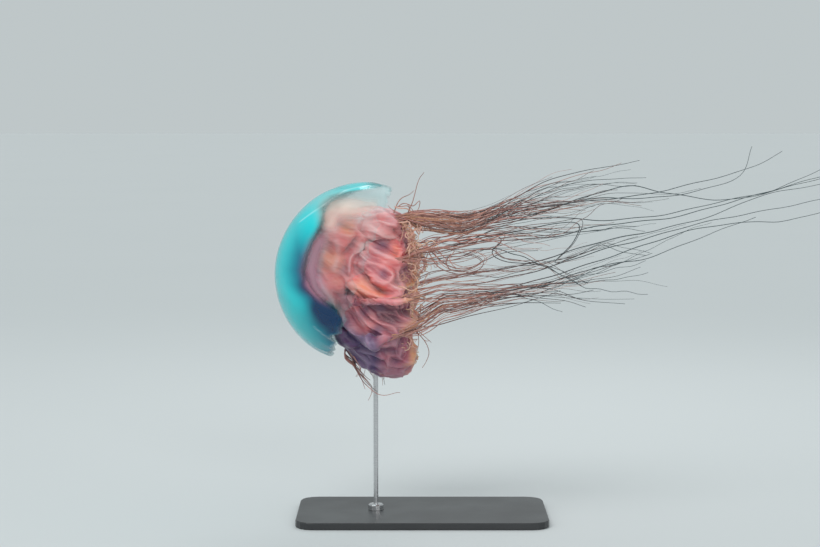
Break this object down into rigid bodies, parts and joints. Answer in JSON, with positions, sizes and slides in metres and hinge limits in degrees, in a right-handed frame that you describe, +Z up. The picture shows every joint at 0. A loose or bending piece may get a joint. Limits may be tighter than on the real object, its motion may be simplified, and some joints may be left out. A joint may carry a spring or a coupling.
{
  "type": "lion's mane jellyfish model on a display stand",
  "caption": "Life-size still model of a swimming lion's mane jellyfish: lobed clear bell, draped oral arms and long trailing tentacle clusters, on a flat stand with one rod.",
  "frame": {"origin": "centre of the stand base's underside", "axes": "+Z up, +X along the trailing tentacles, away from the bell, +Y away from the near side"},
  "size_m": [0.9867, 0.3026, 0.6261],
  "materials": {
    "bell": "clear turquoise jelly, glossy",
    "frills": "curled yellow-orange edge, moist",
    "gonads": "folded orange-red tissue, moist",
    "oral_arms": "draped pink to mauve tissue, moist",
    "stand_base": "satin black plate",
    "stand_rod": "brushed rod",
    "stomach": "salmon red tissue, moist",
    "subumbrella": "thin blue muscle layer, satin",
    "tentacle_roots": "red-brown bundled threads",
    "tentacles": "dark brown threads"
  },
  "bodies": {
    "root": {"bell": "bell", "gonad_1": "gonads", "gonad_2": "gonads", "gonad_3": "gonads", "gonad_4": "gonads", "oral_arm_far": "oral_arms", "oral_arm_lower": "oral_arms", "oral_arm_near": "oral_arms", "oral_arm_upper": "oral_arms", "oral_frill_far": "frills", "oral_frill_lower": "frills", "oral_frill_near": "frills", "oral_frill_upper": "frills", "stand_base": "stand_base", "stand_rod": "stand_rod", "stomach": "stomach", "subumbrella": "subumbrella", "tentacles_bottom_far_root": "tentacle_roots", "tentacles_bottom_far_trail": "tentacles", "tentacles_bottom_near_root": "tentacle_roots", "tentacles_bottom_near_tip_1": "tentacles", "tentacles_bottom_near_trail": "tentacles", "tentacles_bunch": "tentacles", "tentacles_lower_far_root": "tentacle_roots", "tentacles_lower_far_tip_1": "tentacles", "tentacles_lower_far_tip_2": "tentacles", "tentacles_lower_far_trail": "tentacles", "tentacles_lower_near_root": "tentacle_roots", "tentacles_lower_near_tip_1": "tentacles", "tentacles_lower_near_trail": "tentacles", "tentacles_middle_far_root": "tentacle_roots", "tentacles_middle_far_tip_1": "tentacles", "tentacles_middle_far_trail": "tentacles", "tentacles_middle_near_root": "tentacle_roots", "tentacles_middle_near_tip_1": "tentacles", "tentacles_middle_near_trail": "tentacles", "tentacles_upper_far_root": "tentacle_roots", "tentacles_upper_far_tip_1": "tentacles", "tentacles_upper_far_tip_2": "tentacles", "tentacles_upper_far_trail": "tentacles", "tentacles_upper_near_root": "tentacle_roots", "tentacles_upper_near_tip_1": "tentacles", "tentacles_upper_near_trail": "tentacles"}
  },
  "joints": []
}
